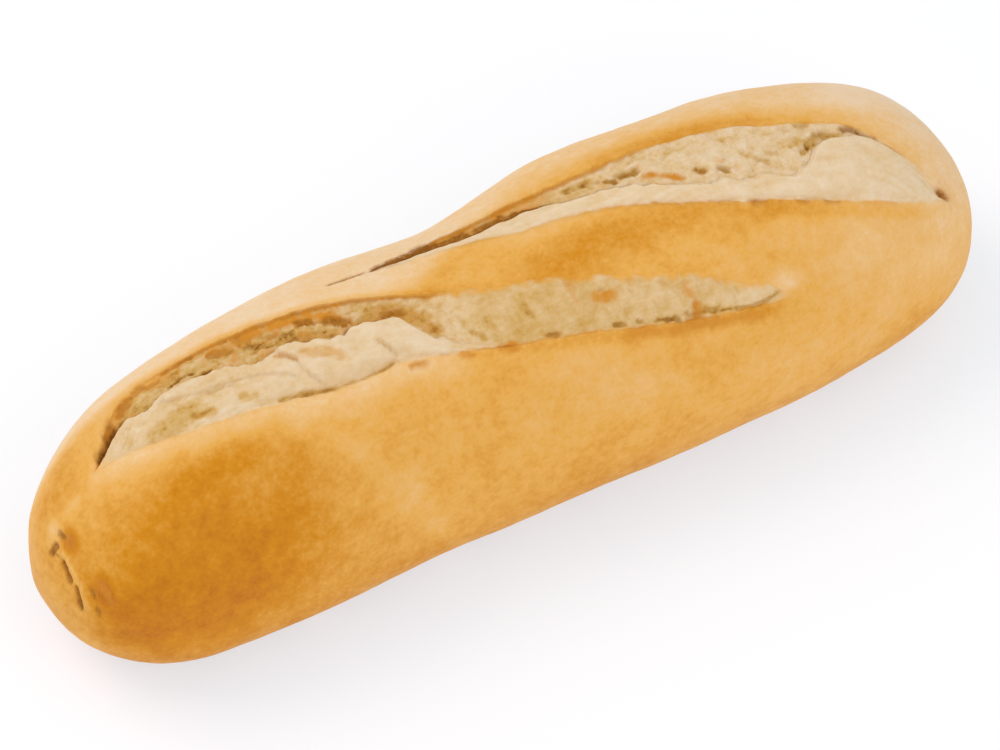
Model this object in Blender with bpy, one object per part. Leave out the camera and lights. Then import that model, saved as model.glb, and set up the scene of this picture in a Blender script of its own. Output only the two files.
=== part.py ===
"""A short baguette: one baked loaf that was scored twice along its top before baking.

The loaf lies along X with its top at +Z and its front at -Y. A point of its surface has two
coordinates: a place along the loaf, from -1 at the left end to 1 at the right one, and an angle
round it in degrees, 0 at the top, 90 at the front, -90 at the back and 180 underneath. A score is
a band between a back edge and a front edge. Across it the dough makes one profile: the lifted
edge of the crust, a torn groove, the risen tongue of dough and a crease at the front crust.
"""
import math
from bisect import bisect_right

import bmesh
import bpy
from mathutils import Matrix, Vector

# The plain loaf, in metres
LENGTH = 0.235
WIDTH = 0.0675
HEIGHT = 0.0553
GIRTH_LEVEL = 0.415     # height of the widest level, as a share of HEIGHT
BASE_PRESS = 1.06       # how far the underside would reach past the flat base, as a share
END_POWER = 6.75        # bluntness of the ends, where 2 is an ellipse
TOP_POWER = 2.15        # fullness of the section above the widest level, where 2 is an ellipse
BOTTOM_POWER = 2.9      # fullness of the section below it
TAPER = 0.063           # share by which the right half is wider and the left half narrower
BOW = 0.004             # sideways bend of the middle, towards the back

# Swells and dents of the loaf: place, reach along the loaf, angle, reach round it, height
SWELLS = (
    (-0.93, 0.12, -80, 50, -0.0018),
    (-0.65, 0.18, -80, 50, 0.0009),
    (-0.36, 0.27, -45, 45, 0.0028),
    (-0.03, 0.14, -50, 40, -0.0016),
    (0.12, 0.12, -85, 50, 0.0010),
    (0.45, 0.14, -85, 50, -0.0016),
    (0.37, 0.31, -45, 45, 0.0045),
    (0.96, 0.10, 40, 60, -0.0017),
    (-0.66, 0.22, 80, 50, -0.0026),
    (-0.26, 0.15, 80, 50, -0.0017),
    (0.30, 0.26, 80, 50, 0.0029),
    (0.75, 0.17, 80, 50, -0.0016),
    (0.76, 0.14, 90, 50, -0.0007),
    (-0.98, 0.05, -40, 35, 0.0010),
    (-0.98, 0.05, -115, 40, -0.0012),
)

# The scores. Each line is (place, value) points of a smooth line along the loaf: the two edges and
# the valley, where the groove is deepest, are in degrees, the heights and depths in metres.
LEFT_SCORE = {
    "back": ((-1, -60), (-0.93, -30), (-0.86, -7), (-0.82, -16.5), (-0.745, -28.5), (-0.70, -30),
             (-0.59, -27), (-0.476, -23), (-0.356, -17), (-0.212, -6.5), (-0.12, 1), (-0.015, 8),
             (0.10, 16.5), (0.31, 32), (0.40, 43), (0.48, 52), (0.6, 55), (1, 62)),
    "front": ((-1, 60), (-0.93, 25), (-0.86, -3.5), (-0.72, 5), (-0.48, 16), (-0.38, 20),
              (-0.275, 20.5), (-0.20, 24.5), (-0.05, 32), (0.17, 43), (0.36, 50.5), (0.48, 54.5),
              (0.6, 70), (1, 100)),
    "valley": ((-1, 0), (-0.93, -3), (-0.86, -5.5), (-0.794, -15.5), (-0.768, -18.5),
               (-0.72, -14.5), (-0.65, -16.5), (-0.556, -10), (-0.433, -6.5), (-0.336, -1),
               (-0.302, -2), (-0.243, 1), (-0.22, 8), (-0.19, 16.5), (-0.145, 23), (-0.08, 29.5),
               (0.20, 43), (0.48, 53.5), (0.6, 62), (1, 80)),
    "ear": ((-0.86, 0), (-0.70, 0.0001), (-0.58, 0.0004), (-0.34, 0.0005), (-0.17, 0.0003),
            (-0.05, 0)),
    "groove": ((-0.86, 0), (-0.83, 0.0016), (-0.76, 0.0016), (-0.70, 0.0007), (-0.60, 0.0008),
               (-0.45, 0.0011), (-0.28, 0.0012), (-0.20, 0.0010), (-0.14, 0.0004), (-0.02, 0)),
    "tongue": ((-0.86, 0), (-0.70, 0.0008), (-0.45, 0.0013), (-0.26, 0.0013), (-0.14, 0.0003),
               (-0.05, 0)),
    "crease": ((-0.86, 0), (-0.70, 0.0001), (-0.55, 0.0003), (-0.40, 0.0006), (-0.28, 0.0006),
               (-0.18, 0.0001), (0.48, 0)),
}
RIGHT_SCORE = {
    "back": ((-1, -130), (-0.6, -60), (-0.38, -31), (-0.23, -24), (-0.11, -25), (-0.03, -27.5),
             (0.13, -23.5), (0.27, -20), (0.34, -20.5), (0.42, -19), (0.55, -15.5), (0.65, -9),
             (0.75, -1), (0.81, 12.5), (0.855, 34), (0.89, 46), (1, 0)),
    "front": ((-1, -70), (-0.6, -42), (-0.38, -25), (-0.23, -21.5), (-0.10, -20), (0.065, -10),
              (0.20, -3.5), (0.385, 10), (0.568, 24), (0.727, 37), (0.83, 45), (0.89, 48.5),
              (1, 56)),
    "valley": ((-1, -100), (-0.6, -51), (-0.38, -28), (-0.23, -23), (-0.08, -23.5), (0.03, -21.5),
               (0.13, -17), (0.20, -12.5), (0.31, -7), (0.41, 1), (0.52, 7.5), (0.6, 12.5),
               (0.65, 8), (0.70, 4), (0.765, 7), (0.81, 16.5), (0.845, 33), (0.89, 47), (1, 30)),
    "ear": ((-0.23, 0), (-0.12, 0.0003), (0.05, 0.0005), (0.24, 0.0005), (0.40, 0.0001),
            (0.89, 0)),
    "groove": ((-0.23, 0), (-0.20, 0.0005), (-0.05, 0.0006), (0.10, 0.0009), (0.27, 0.0010),
               (0.40, 0.0006), (0.60, 0.0006), (0.68, 0.0009), (0.77, 0.0009), (0.81, 0.0003),
               (0.83, 0)),
    "tongue": ((-0.23, 0), (0.20, 0.0005), (0.60, 0.0009), (0.73, 0.0014), (0.78, 0.0008),
               (0.815, 0.0002), (0.84, 0)),
    "crease": ((-0.23, 0), (0.10, 0.0002), (0.80, 0.0003), (0.89, 0)),
}
EAR_LIP = 0.00035       # from the back edge to the end of the lifted crust's lip
EAR_FOOT = 0.0008       # from the back edge to the foot of the lip, where the torn face begins
GROOVE_FROM_EDGE = 0.0006   # least distance from the back edge to the valley
CREST = 0.0017          # greatest distance from the valley to the crest of the tongue
FRONT_LIP = 0.0003      # height of the crust's rim along a score's front edge
EAR_REACH = 13          # degrees of crust that rise towards a lifted edge
LIP_REACH = 6           # degrees of crust that rise towards a front rim
ON_EDGE = 1e-6          # degrees within which a point counts as on an edge

# Mesh: strands run from end to end, stations are the rings that they cross. All the strands
# together are a multiple of four, like the corners of the sphere that they are laid on.
BACK_STRANDS = 14
SPAN_STRANDS = (1, 1, 3, 3, 3, 2, 1)    # strands in each span of the profile across a score
SCORE_STRANDS = sum(SPAN_STRANDS)
BRIDGE_STRANDS = 3
FRONT_STRANDS = 15
STATIONS = 72

CRUST_COLOUR = (0.70, 0.35, 0.065, 1.0)
CRUST_ROUGHNESS = 0.55


def curve(points, place):
    """Read a smooth line through (place, value) points, level at its highs, lows and ends."""
    if place <= points[0][0]:
        return points[0][1]
    if place >= points[-1][0]:
        return points[-1][1]
    index = bisect_right([point[0] for point in points], place) - 1
    (start, low), (end, high) = points[index], points[index + 1]
    share = (place - start) / (end - start)
    low_slope = slope_at(points, index) * (end - start)
    high_slope = slope_at(points, index + 1) * (end - start)
    change = high - low
    bend = (low_slope + high_slope - 2 * change) * share + 3 * change - 2 * low_slope - high_slope
    return low + share * (low_slope + share * bend)


def slope_at(points, index):
    """Slope of the smooth line at one of its points."""
    if index in (0, len(points) - 1):
        return 0.0
    (x0, v0), (x1, v1), (x2, v2) = points[index - 1:index + 2]
    before = (v1 - v0) / (x1 - x0)
    after = (v2 - v1) / (x2 - x1)
    return 0.0 if before * after <= 0 else 2 * before * after / (before + after)


def bell(offset, reach):
    """A hump of height 1 that fades within about twice its reach."""
    return math.exp(-((offset / reach) ** 2))


def loaf_point(place, angle):
    """Point of the plain loaf, without its scores."""
    round_off = math.sqrt(max(0.0, 1 - abs(place) ** END_POWER))
    level = GIRTH_LEVEL * HEIGHT
    sine = math.sin(math.radians(angle))
    cosine = math.cos(math.radians(angle))
    power = TOP_POWER if cosine > 0 else BOTTOM_POWER
    reach = round_off * (abs(sine) ** power + abs(cosine) ** power) ** (-1 / power)
    rise = HEIGHT - level if cosine > 0 else BASE_PRESS * level
    y = BOW * (1 - place ** 2) - 0.5 * WIDTH * (1 + TAPER * place) * sine * reach
    z = level + rise * cosine * reach
    for middle, length, facing, spread, height in SWELLS:
        swell = height * bell(place - middle, length) * bell(angle - facing, spread)
        swell *= math.sqrt(round_off)
        y -= swell * math.sin(math.radians(facing))
        z += swell * math.cos(math.radians(facing))
    return Vector((0.5 * LENGTH * place, y, max(z, 0.0)))


def outward(place, angle):
    """Unit vector that points straight out of the plain loaf."""
    step = 0.001
    inner = max(-1 + 2 * step, min(1 - 2 * step, place))
    along = loaf_point(inner + step, angle) - loaf_point(inner - step, angle)
    around = loaf_point(inner, angle + 1) - loaf_point(inner, angle - 1)
    return around.cross(along).normalized()


def crust_lift(score, place, angle):
    """Rise of the crust beside a score: towards its lifted back edge and its front rim."""
    back = curve(score["back"], place)
    front = curve(score["front"], place)
    if angle <= back + ON_EDGE:
        return curve(score["ear"], place) * bell(back - angle, EAR_REACH)
    if angle >= front - ON_EDGE:
        return rim_height(score, place) * bell(angle - front, LIP_REACH)
    return 0.0


def rim_height(score, place):
    """Height of the rim along the front edge, which dies out at the score's two tips."""
    first, last = score["crease"][0][0], score["crease"][-1][0]
    share = (place - first) / (last - first)
    return FRONT_LIP * math.sqrt(max(0.0, 4 * share * (1 - share)))


def score_profile(score, place, width, step):
    """Share of the way across a score and height over the plain loaf, at a step of its profile."""
    back = curve(score["back"], place)
    front = curve(score["front"], place)
    ear = curve(score["ear"], place)
    groove = curve(score["groove"], place)
    tongue = curve(score["tongue"], place)
    groove_at = (curve(score["valley"], place) - back) / (front - back)
    groove_at = max(GROOVE_FROM_EDGE / width, min(0.9, groove_at))
    beyond = 1 - groove_at
    knots = (
        (0.0, ear),
        (min(EAR_LIP / width, 0.25 * groove_at), 0.6 * ear),
        (min(EAR_FOOT / width, 0.6 * groove_at), -0.3 * groove),
        (groove_at, -groove),
        (groove_at + min(CREST / width, 0.4 * beyond), tongue),
        (groove_at + 0.65 * beyond, 0.75 * tongue),
        (groove_at + 0.93 * beyond, -curve(score["crease"], place)),
        (1.0, rim_height(score, place)),
    )
    across = tuple((index, knot[0]) for index, knot in enumerate(knots))
    heights = tuple((index, knot[1]) for index, knot in enumerate(knots))
    return curve(across, step), curve(heights, step)


def profile_step(strand):
    """Step of the profile at a strand of a score, counted from its back edge."""
    for span, strands in enumerate(SPAN_STRANDS):
        if strand <= strands:
            return span + strand / strands
        strand -= strands
    raise ValueError("strand beyond the score")


def surface_point(place, strand):
    """Point of the scored loaf on a strand, counted from under the loaf by way of its back."""
    right_back = curve(RIGHT_SCORE["back"], place)
    right_front = curve(RIGHT_SCORE["front"], place)
    left_back = curve(LEFT_SCORE["back"], place)
    left_front = curve(LEFT_SCORE["front"], place)
    bands = (
        (BACK_STRANDS, -180, right_back, None),
        (SCORE_STRANDS, right_back, right_front, RIGHT_SCORE),
        (BRIDGE_STRANDS, right_front, left_back, None),
        (SCORE_STRANDS, left_back, left_front, LEFT_SCORE),
        (FRONT_STRANDS, left_front, 180, None),
    )
    for strands, start, end, own_score in bands:
        if strand <= strands:
            break
        strand -= strands
    share = strand / strands
    height = 0.0
    if own_score:
        width = (loaf_point(place, end) - loaf_point(place, start)).length + 0.001
        share, height = score_profile(own_score, place, width, profile_step(strand))
    angle = start + (end - start) * share
    for score in (LEFT_SCORE, RIGHT_SCORE):
        if score is not own_score:
            height += crust_lift(score, place, angle)
    if height == 0.0:
        return loaf_point(place, angle)
    return loaf_point(place, angle) + outward(place, angle) * height


def bread_material():
    """Baked crust, matte and golden."""
    material = bpy.data.materials.new("baked_crust")
    material.use_nodes = True
    shader = material.node_tree.nodes["Principled BSDF"]
    shader.inputs["Base Color"].default_value = CRUST_COLOUR
    shader.inputs["Roughness"].default_value = CRUST_ROUGHNESS
    shader.inputs["Metallic"].default_value = 0.0
    return material


def build_loaf(collection):
    """Shape a sphere, with its poles at the loaf's ends, into the loaf."""
    strands = BACK_STRANDS + 2 * SCORE_STRANDS + BRIDGE_STRANDS + FRONT_STRANDS
    shape = bmesh.new()
    poles_on_x = Matrix.Rotation(math.radians(90), 4, "Y")
    bmesh.ops.create_uvsphere(shape, u_segments=strands, v_segments=STATIONS, radius=1.0,
                              matrix=poles_on_x)
    for vertex in shape.verts:
        ring = 1 - 2 * math.acos(max(-1.0, min(1.0, vertex.co.x))) / math.pi
        place = 1.25 * ring - 0.25 * ring ** 5
        turn = math.atan2(-vertex.co.y, vertex.co.z) / (2 * math.pi) + 0.5
        vertex.co = surface_point(place, round(turn * strands) % strands)
    lows = [min(vertex.co[axis] for vertex in shape.verts) for axis in range(3)]
    highs = [max(vertex.co[axis] for vertex in shape.verts) for axis in range(3)]
    middle = Vector((0.5 * (lows[0] + highs[0]), 0.5 * (lows[1] + highs[1]), lows[2]))
    bmesh.ops.translate(shape, verts=shape.verts, vec=-middle)
    bmesh.ops.triangulate(shape, faces=shape.faces)
    mesh = bpy.data.meshes.new("loaf")
    shape.to_mesh(mesh)
    shape.free()
    mesh.shade_smooth()
    mesh.materials.append(bread_material())
    collection.objects.link(bpy.data.objects.new("loaf", mesh))


def main():
    for old in list(bpy.data.objects):
        bpy.data.objects.remove(old, do_unlink=True)
    collection = bpy.data.collections.new("Baguette")
    bpy.context.scene.collection.children.link(collection)
    build_loaf(collection)


main()
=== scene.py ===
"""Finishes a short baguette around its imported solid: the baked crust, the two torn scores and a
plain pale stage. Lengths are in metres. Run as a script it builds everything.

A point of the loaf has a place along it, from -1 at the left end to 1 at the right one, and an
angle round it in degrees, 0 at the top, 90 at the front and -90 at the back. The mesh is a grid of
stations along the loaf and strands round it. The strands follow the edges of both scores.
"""
import math

import bmesh
import bpy
import numpy as np
from bpy.props import FloatProperty, FloatVectorProperty, PointerProperty
from mathutils import Matrix, Vector, noise
from types import SimpleNamespace


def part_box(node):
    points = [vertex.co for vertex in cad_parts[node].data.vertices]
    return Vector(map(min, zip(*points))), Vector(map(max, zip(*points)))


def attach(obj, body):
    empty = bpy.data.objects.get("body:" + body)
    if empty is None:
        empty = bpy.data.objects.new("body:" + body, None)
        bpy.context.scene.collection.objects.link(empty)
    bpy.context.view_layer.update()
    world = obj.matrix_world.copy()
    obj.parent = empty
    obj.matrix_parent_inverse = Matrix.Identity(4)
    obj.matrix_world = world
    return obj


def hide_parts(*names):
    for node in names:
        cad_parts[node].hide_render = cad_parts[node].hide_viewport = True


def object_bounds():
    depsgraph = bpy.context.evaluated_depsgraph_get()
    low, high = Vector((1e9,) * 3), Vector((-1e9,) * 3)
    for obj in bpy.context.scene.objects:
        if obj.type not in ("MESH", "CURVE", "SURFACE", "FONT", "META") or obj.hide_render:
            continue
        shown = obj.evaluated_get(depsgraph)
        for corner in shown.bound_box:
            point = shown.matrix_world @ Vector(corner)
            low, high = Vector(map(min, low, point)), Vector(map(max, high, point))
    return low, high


bl_info = {
    "name": "Baguette Baker",
    "version": (1, 0, 0),
    "blender": (4, 5, 0),
    "location": "3D View > Sidebar > Baguette",
    "description": "Bakes a short scored baguette with its crust, torn crumb and a plain stage",
    "category": "Add Mesh",
}

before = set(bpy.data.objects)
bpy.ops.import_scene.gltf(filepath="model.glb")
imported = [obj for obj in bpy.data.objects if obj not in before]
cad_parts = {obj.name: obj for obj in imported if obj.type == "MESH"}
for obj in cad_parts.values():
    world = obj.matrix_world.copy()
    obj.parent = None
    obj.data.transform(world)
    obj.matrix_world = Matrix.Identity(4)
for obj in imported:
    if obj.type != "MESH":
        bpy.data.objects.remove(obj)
CAD_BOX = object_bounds()
LOAF_LOW, LOAF_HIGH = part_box("loaf")
LENGTH = LOAF_HIGH[0] - LOAF_LOW[0]

# The plain loaf, as shares of its own sizes
PLAIN_WIDTH = 0.0675 / 0.235     # over its length
PLAIN_HEIGHT = 0.0553 / 0.235
GIRTH_LEVEL = 0.415
BASE_PRESS = 1.06
END_POWER = 6.75
TOP_POWER = 2.15
BOTTOM_POWER = 2.9
TAPER = 0.063
BOW = 0.004

# Swells and dents of the loaf: place, reach along the loaf, angle, reach round it, height. The
# heights of the first twelve are rounded results of a fit of the loaf's outline.
SWELLS = (
    (-0.93, 0.12, -80, 50, -0.0018),
    (-0.65, 0.18, -80, 50, 0.0009),
    (-0.36, 0.27, -45, 45, 0.0028),
    (-0.03, 0.14, -50, 40, -0.0016),
    (0.12, 0.12, -85, 50, 0.0010),
    (0.45, 0.14, -85, 50, -0.0016),
    (0.37, 0.31, -45, 45, 0.0045),
    (0.96, 0.10, 40, 60, -0.0017),
    (-0.66, 0.22, 80, 50, -0.0026),
    (-0.26, 0.15, 80, 50, -0.0017),
    (0.30, 0.26, 80, 50, 0.0029),
    (0.75, 0.17, 80, 50, -0.0016),
    (0.76, 0.14, 90, 50, -0.0007),
    (0.93, 0.07, -50, 45, 0.0006),
    (0.44, 0.09, -60, 35, -0.0005),
    (0.20, 0.07, -60, 35, 0.0006),
    (-0.78, 0.07, 100, 40, 0.0006),
    (-0.94, 0.06, 110, 40, -0.0006),
    (0.64, 0.08, 100, 40, -0.0004),
    (0.92, 0.08, 80, 40, 0.0003),
    (-0.90, 0.10, -70, 45, -0.0005),
    (-0.45, 0.12, 100, 40, -0.0005),
    (-0.14, 0.10, 100, 40, 0.0004),
    (-0.98, 0.05, -40, 35, 0.0010),
    (-0.98, 0.05, -115, 40, -0.0012),
)

# The scores: each line holds (place, value) points of a smooth line along the loaf. The edges and
# the valley, the groove between the torn face and the risen tongue, are in degrees, heights and
# depths in metres: ear, the lifted back edge; groove; tongue; crease, the dip inside the front
# edge. Skin is how far crust reaches in over the back edge, in metres too. The others are
# strengths: flat, an open flat bottom; shade, painted shade along the groove; torn, a coarse
# face; scorch, toasted patches on it; tone, how pale it is; line, a brown ear line, toasted and
# partly painted shade under the ear's lip.
LEFT_SCORE = {
    "back": ((-1, -60), (-0.93, -30), (-0.86, -7), (-0.82, -16.5), (-0.78, -24), (-0.745, -28.5),
             (-0.70, -30), (-0.65, -28), (-0.59, -27), (-0.54, -25.2), (-0.476, -22.9),
             (-0.433, -21.1), (-0.356, -17.2), (-0.275, -11.8), (-0.212, -6.5), (-0.17, -2.6),
             (-0.12, 1.2), (-0.065, 5), (-0.015, 8.3), (0.042, 12), (0.10, 16.4), (0.22, 25.5),
             (0.31, 32), (0.35, 37), (0.40, 43), (0.44, 47), (0.48, 52), (0.6, 55), (1, 62)),
    "front": ((-1, 60), (-0.93, 25), (-0.86, -3.5), (-0.72, 5), (-0.48, 16), (-0.38, 20),
              (-0.275, 20.6), (-0.229, 23), (-0.20, 24.6), (-0.157, 26.8), (-0.108, 29),
              (-0.05, 31.8), (0.10, 39), (0.17, 42.7), (0.26, 46.8), (0.36, 50.5), (0.48, 54.5),
              (0.6, 70), (1, 100)),
    "valley": ((-1, 0), (-0.93, -3), (-0.86, -5.5), (-0.827, -11), (-0.794, -15.7),
               (-0.768, -18.5), (-0.745, -16.5), (-0.72, -14.6), (-0.69, -16), (-0.65, -16.6),
               (-0.60, -13), (-0.556, -10), (-0.489, -7.3), (-0.433, -6.4), (-0.407, -5),
               (-0.375, -2.8), (-0.336, -1), (-0.302, -1.8), (-0.262, 0), (-0.243, 1.2),
               (-0.232, 3.6), (-0.22, 8), (-0.205, 12.5), (-0.19, 16.5), (-0.17, 20), (-0.145, 23),
               (-0.12, 26.5), (-0.08, 29.5), (0, 33), (0.20, 43), (0.48, 53.5), (0.6, 62),
               (1, 80)),
    "ear": ((-0.86, 0), (-0.70, 0.0001), (-0.58, 0.0004), (-0.34, 0.0005), (-0.17, 0.0003),
            (-0.05, 0)),
    "skin": ((-0.86, 0.0010), (-0.80, 0.0018), (-0.70, 0.0020), (-0.60, 0.0006), (-0.50, 0)),
    "groove": ((-0.86, 0), (-0.83, 0.0016), (-0.76, 0.0016), (-0.70, 0.0007), (-0.60, 0.0008),
               (-0.45, 0.0011), (-0.28, 0.0012), (-0.20, 0.0010), (-0.14, 0.0004), (-0.02, 0)),
    "tongue": ((-0.86, 0), (-0.70, 0.0008), (-0.45, 0.0013), (-0.26, 0.0013), (-0.14, 0.0003),
               (-0.05, 0)),
    "crease": ((-0.86, 0), (-0.70, 0.0001), (-0.55, 0.0003), (-0.40, 0.0006), (-0.28, 0.0006),
               (-0.18, 0.0001), (0.48, 0)),
    "flat": ((-0.22, 0), (-0.06, 1)),
    "shade": ((-0.86, 0.6), (-0.845, 1), (-0.765, 1), (-0.735, 0.4), (-0.69, 0.1), (-0.45, 0.15),
              (-0.30, 0.5), (-0.22, 0.4), (-0.17, 0.1), (-0.12, 0)),
    "torn": ((-0.86, 0.5), (-0.66, 0.8), (-0.50, 1), (-0.20, 1), (0.0, 0.7)),
    "scorch": ((-0.86, 0.8), (-0.76, 0.6), (-0.70, 0.4), (-0.64, 0.3), (-0.50, 0.5), (-0.34, 0.4),
               (-0.28, 0)),
    "tone": ((-0.86, 0.2), (-0.70, 0.42), (-0.50, 0.42), (-0.34, 0.45), (-0.22, 0.48),
             (-0.05, 0.42), (0.30, 0.52)),
    "line": ((-0.86, 0), (-0.72, 0.1), (-0.64, 0.8), (-0.50, 1), (-0.30, 1), (-0.17, 0.8),
             (-0.12, 0.2), (0.04, 0)),
}
RIGHT_SCORE = {
    "back": ((-1, -130), (-0.6, -60), (-0.38, -31), (-0.23, -24), (-0.11, -25), (-0.06, -28),
             (-0.03, -27.5), (0.03, -26), (0.13, -23.3), (0.20, -21.2), (0.27, -20.2),
             (0.34, -20.6), (0.42, -19), (0.55, -15.5), (0.61, -10.8), (0.65, -8.8), (0.72, -4.3),
             (0.75, -0.8), (0.79, 7), (0.81, 12.5), (0.825, 17.5), (0.84, 24), (0.855, 34),
             (0.89, 46), (1, 0)),
    "front": ((-1, -70), (-0.6, -42), (-0.38, -25), (-0.23, -21.5), (-0.10, -20), (0, -15),
              (0.065, -9.8), (0.13, -7.2), (0.20, -3.5), (0.285, 1.8), (0.385, 10.2), (0.46, 16.2),
              (0.568, 23.8), (0.644, 30.6), (0.727, 37), (0.83, 45), (0.89, 48.5), (1, 56)),
    "valley": ((-1, -100), (-0.6, -51), (-0.38, -28), (-0.23, -23), (-0.15, -23.3), (-0.08, -23.4),
               (-0.04, -22.3), (0.0, -21.5), (0.03, -21.3), (0.055, -20.3), (0.086, -18.7),
               (0.13, -16.9), (0.171, -14.8), (0.201, -12.7), (0.262, -9.4), (0.308, -7.3),
               (0.331, -5.3), (0.408, 1.2), (0.46, 5), (0.522, 7.6), (0.568, 10.8), (0.60, 12.6),
               (0.625, 11), (0.648, 8), (0.67, 5.4), (0.70, 3.8), (0.735, 5), (0.765, 7),
               (0.79, 11.5), (0.81, 16.5), (0.83, 24), (0.845, 33), (0.89, 47), (1, 30)),
    "ear": ((-0.23, 0), (-0.12, 0.0003), (0.05, 0.0005), (0.24, 0.0005), (0.40, 0.0001),
            (0.89, 0)),
    "skin": ((0.76, 0), (0.80, 0.0004), (0.83, 0.0022), (0.86, 0.0040)),
    "groove": ((-0.23, 0), (-0.20, 0.0005), (-0.05, 0.0006), (0.10, 0.0009), (0.27, 0.0010),
               (0.40, 0.0006), (0.60, 0.0006), (0.68, 0.0009), (0.77, 0.0009), (0.81, 0.0003),
               (0.83, 0)),
    "tongue": ((-0.23, 0), (0.20, 0.0005), (0.60, 0.0009), (0.73, 0.0014), (0.78, 0.0008),
               (0.815, 0.0002), (0.84, 0)),
    "crease": ((-0.23, 0), (0.10, 0.0002), (0.80, 0.0003), (0.89, 0)),
    "flat": ((-0.23, 0), (0.89, 0)),
    "shade": ((-0.23, 0.5), (-0.21, 1), (0.12, 1), (0.19, 0.3), (0.30, 0.25), (0.40, 0.1),
              (0.60, 0), (0.66, 0.08), (0.76, 0.14), (0.83, 0)),
    "torn": ((-0.23, 0.1), (0.16, 0.5), (0.34, 0.9), (0.68, 0.9), (0.80, 0.4)),
    "scorch": ((-0.23, 1), (-0.04, 1.2), (0.02, 0.9), (0.14, 0.8), (0.20, 0.2), (0.34, -0.2)),
    "tone": ((-0.20, 0.35), (0.14, 0.45), (0.22, 0.60), (0.40, 0.68), (0.84, 0.74)),
    "line": ((-0.23, 0.3), (0, 1), (0.18, 0.8), (0.32, 0.5), (0.42, 0)),
}
EAR_LIP = 0.00035
EAR_FOOT = 0.0008
GROOVE_FROM_EDGE = 0.0006
CREST = 0.0017
FRONT_LIP = 0.0003
EAR_REACH = 13
LIP_REACH = 6
COARSER = (-0.42, -0.60)        # places between which the dough turns coarser towards the left

# Folds where a lobe of dough overlaps the next one: (place, angle) points of the line, height of
# the step and how far the lobe swells. The higher side is on the left along the line.
# painted shade falls on the dough under each step's edge
FOLDS = (
    (((-0.70, -12), (-0.66, -9), (-0.61, -4), (-0.56, -1)), 0.0003, 0.0030),
    (((-0.474, -6), (-0.456, -2), (-0.441, 3), (-0.437, 9), (-0.42, 15)), 0.0004, 0.0050),
    (((-0.62, -6), (-0.55, -2), (-0.49, 3), (-0.455, 9)), 0.00015, 0.0030),
    (((-0.292, 8), (-0.283, 13), (-0.274, 17)), 0.0004, 0.0035),
)
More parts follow.
